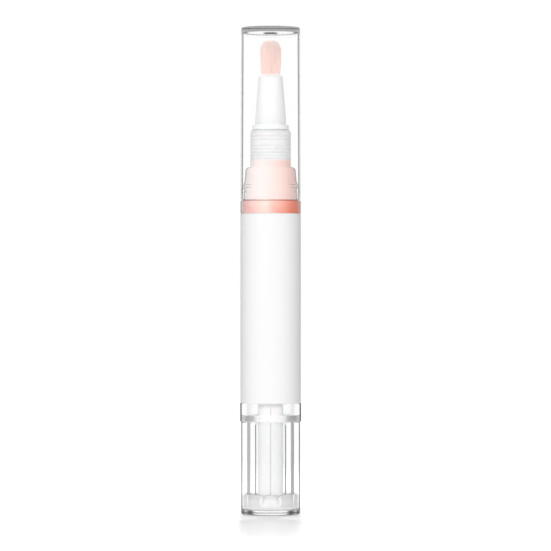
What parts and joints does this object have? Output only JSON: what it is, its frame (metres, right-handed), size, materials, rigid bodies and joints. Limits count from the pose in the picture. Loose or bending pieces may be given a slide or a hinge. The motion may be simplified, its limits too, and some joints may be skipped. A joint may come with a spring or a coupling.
{
  "type": "twist nail colour pen",
  "caption": "Upright twist pen for nail colour: clear cap over a pink brush, clear barrel with pink liquid under a plain white label, clear twist knob.",
  "frame": {"origin": "centre of the knob's resting face, at the bottom of the standing pen", "axes": "+Z along the pen's axis from the knob to the cap; the pen is round about it"},
  "size_m": [0.0174, 0.0174, 0.139],
  "materials": {
    "clear_plastic": "clear, polished",
    "frosted_plastic": "natural, slightly frosted",
    "white_plastic": "satin white",
    "label_film": "matt white film",
    "pink_fluid": "translucent pink liquid",
    "brush_fibre": "fine pink fibre",
    "seal_rubber": "matt"
  },
  "bodies": {
    "barrel": {"barrel": "clear_plastic", "label": "label_film", "tail_housing": "clear_plastic", "drive_nut": "white_plastic", "brush_seat": "frosted_plastic", "brush_ferrule": "white_plastic", "brush_bristles": "brush_fibre", "feed_tube": "white_plastic", "fluid_neck": "pink_fluid", "fluid_column": "pink_fluid"},
    "cap": {"cap": "clear_plastic"},
    "knob": {"knob_shell": "clear_plastic", "ratchet_ring": "frosted_plastic", "drive_tube": "white_plastic"},
    "screw": {"lead_screw": "white_plastic"},
    "piston": {"piston": "white_plastic", "piston_ring": "seal_rubber"}
  },
  "joints": [
    {"name": "cap_pull", "type": "slide", "parent": "barrel", "child": "cap", "axis": [0, 0, 1], "range_m": [0, 0.052]},
    {"name": "knob_turn", "type": "hinge", "parent": "barrel", "child": "knob", "pos_m": [0, 0, 0], "axis": [0, 0, 1], "range_deg": [0, 3600]},
    {"name": "screw_feed", "type": "slide", "parent": "knob", "child": "screw", "axis": [0, 0, 1], "range_m": [0, 0.03]},
    {"name": "piston_rise", "type": "slide", "parent": "barrel", "child": "piston", "axis": [0, 0, 1], "range_m": [0, 0.03], "deforming": ["fluid_column"]}
  ],
  "couplings": [
    {"joint": "knob_turn", "follows": "piston_rise", "rad_per_m": 2094.4},
    {"joint": "screw_feed", "follows": "piston_rise", "ratio": 1}
  ]
}
